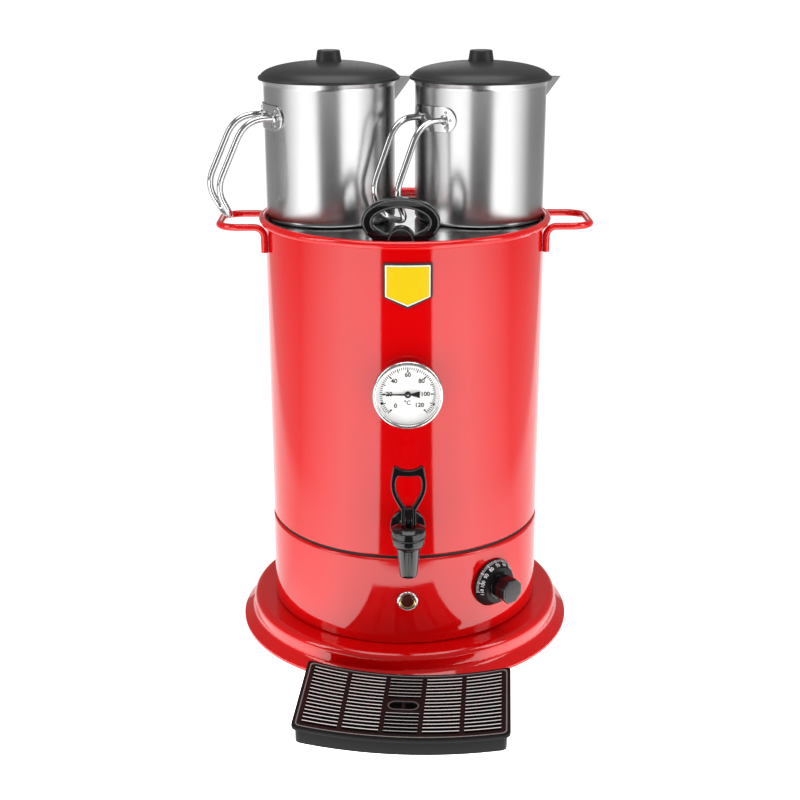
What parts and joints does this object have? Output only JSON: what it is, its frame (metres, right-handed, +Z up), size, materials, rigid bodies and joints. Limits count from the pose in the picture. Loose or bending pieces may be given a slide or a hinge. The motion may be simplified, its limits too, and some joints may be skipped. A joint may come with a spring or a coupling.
{
  "type": "hot water urn",
  "caption": "Catering hot water urn with a lever tap, dial thermometer, thermostat knob, two lidded serving pots on its lid and a loose drip tray.",
  "frame": {"origin": "on the table, on the axis of the urn", "axes": "+Z up along the urn's axis, -Y to the front with the tap, +X to the right seen from the front"},
  "size_m": [0.3839, 0.4736, 0.5995],
  "materials": {
    "red_enamel": "glossy baked enamel",
    "pot_steel": "brushed, bright",
    "tank_steel": "drawn, satin",
    "deck_steel": "satin",
    "lid_black": "matt, very fine grain",
    "black_gloss": "glossy moulding",
    "black_trim": "satin moulding",
    "rubber": "matt rubber",
    "silicone": "soft silicone",
    "zinc": "zinc plated",
    "brass": "turned brass",
    "spring_steel": "bright stainless",
    "copper": "bare copper",
    "phenolic": "moulded phenolic",
    "terminal_white": "white nylon",
    "wire_brown": "brown insulation",
    "wire_black": "black insulation",
    "wire_blue": "blue insulation",
    "bright_chrome": "polished",
    "lamp_amber": "dark amber",
    "dial_white": "white print ground",
    "pointer_black": "black paint",
    "dial_glass": "clear flat glass",
    "plate_yellow": "enamelled plate, bare"
  },
  "bodies": {
    "urn_body": {"badge_plate": "plate_yellow", "base_plinth": "red_enamel", "base_screws": "zinc", "bottom_cover": "black_trim", "cord_bush": "black_trim", "dial_face": "dial_white", "dial_glass": "dial_glass", "dry_boil_cutout": "phenolic", "element_nuts": "brass", "element_seals": "silicone", "heating_element": "tank_steel", "lamp_bezel": "bright_chrome", "lamp_lens": "lamp_amber", "lower_housing": "red_enamel", "outer_shell": "red_enamel", "rubber_feet": "rubber", "seam_ring": "black_trim", "side_handle_left": "red_enamel", "side_handle_right": "red_enamel", "tank_nuts": "zinc", "tap_body": "black_gloss", "tap_bonnet": "black_gloss", "tap_gaskets": "silicone", "tap_nut": "brass", "tap_spring": "spring_steel", "terminal_block": "terminal_white", "thermometer_bezel": "bright_chrome", "thermometer_case": "zinc", "thermometer_nut": "brass", "thermometer_stem": "brass", "thermostat_body": "phenolic", "thermostat_capillary": "copper", "thermostat_screws": "zinc", "water_tank": "tank_steel", "wire_live": "wire_brown", "wire_neutral": "wire_blue", "wire_switched": "wire_black"},
    "thermostat_knob": {"thermostat_shaft": "spring_steel", "knob_skirt": "black_gloss", "knob_grip": "black_gloss"},
    "thermometer_needle": {"thermometer_pointer": "pointer_black"},
    "tap_plunger": {"tap_stem": "black_gloss", "tap_seat": "silicone"},
    "tap_handle": {"tap_lever": "black_gloss", "lever_pin": "spring_steel"},
    "urn_lid": {"lid_deck": "deck_steel", "lid_handle": "black_gloss", "lid_handle_screws": "zinc"},
    "left_pot": {"pot_left_body": "pot_steel", "pot_left_spout": "pot_steel", "pot_left_handle": "pot_steel"},
    "left_pot_cover": {"pot_left_lid": "lid_black", "pot_left_knob": "lid_black"},
    "right_pot": {"pot_right_body": "pot_steel", "pot_right_spout": "pot_steel", "pot_right_handle": "pot_steel"},
    "right_pot_cover": {"pot_right_lid": "lid_black", "pot_right_knob": "lid_black"},
    "drip_tray": {"tray_pan": "black_trim"},
    "drip_grille": {"tray_grille": "black_trim"}
  },
  "joints": [
    {"name": "thermostat_turn", "type": "hinge", "parent": "urn_body", "child": "thermostat_knob", "pos_m": [0.08619, -0.11032, 0.084], "axis": [-0.6157, 0.788, 0], "range_deg": [-165, 105]},
    {"name": "thermometer_sweep", "type": "hinge", "parent": "urn_body", "child": "thermometer_needle", "pos_m": [0, -0.147, 0.296], "axis": [0, 1, 0], "range_deg": [-45, 225]},
    {"name": "tap_stem_lift", "type": "slide", "parent": "urn_body", "child": "tap_plunger", "axis": [0, 0, 1], "range_m": [0, 0.0031], "deforming": ["tap_spring"]},
    {"name": "tap_lever_tilt", "type": "hinge", "parent": "tap_plunger", "child": "tap_handle", "pos_m": [0, -0.182, 0.1833], "axis": [1, 0, 0], "range_deg": [0, 30], "stiffness_Nm_per_rad": 0.4},
    {"name": "lid_lift", "type": "slide", "parent": "urn_body", "child": "urn_lid", "axis": [0, 0, 1], "range_m": [0, 0.12]},
    {"name": "left_pot_lift", "type": "slide", "parent": "urn_lid", "child": "left_pot", "axis": [0, 0, 1], "range_m": [0, 0.08]},
    {"name": "left_pot_cover_lift", "type": "slide", "parent": "left_pot", "child": "left_pot_cover", "axis": [0, 0, 1], "range_m": [0, 0.06]},
    {"name": "right_pot_lift", "type": "slide", "parent": "urn_lid", "child": "right_pot", "axis": [0, 0, 1], "range_m": [0, 0.08]},
    {"name": "right_pot_cover_lift", "type": "slide", "parent": "right_pot", "child": "right_pot_cover", "axis": [0, 0, 1], "range_m": [0, 0.06]},
    {"name": "drip_tray_slide", "type": "slide", "parent": "urn_body", "child": "drip_tray", "axis": [-0.0889, -0.996, 0], "range_m": [0, 0.12]},
    {"name": "drip_grille_lift", "type": "slide", "parent": "drip_tray", "child": "drip_grille", "axis": [0, 0, 1], "range_m": [0, 0.05]}
  ],
  "couplings": [
    {"joint": "tap_stem_lift", "follows": "tap_lever_tilt", "m_per_rad": 0.0058}
  ]
}
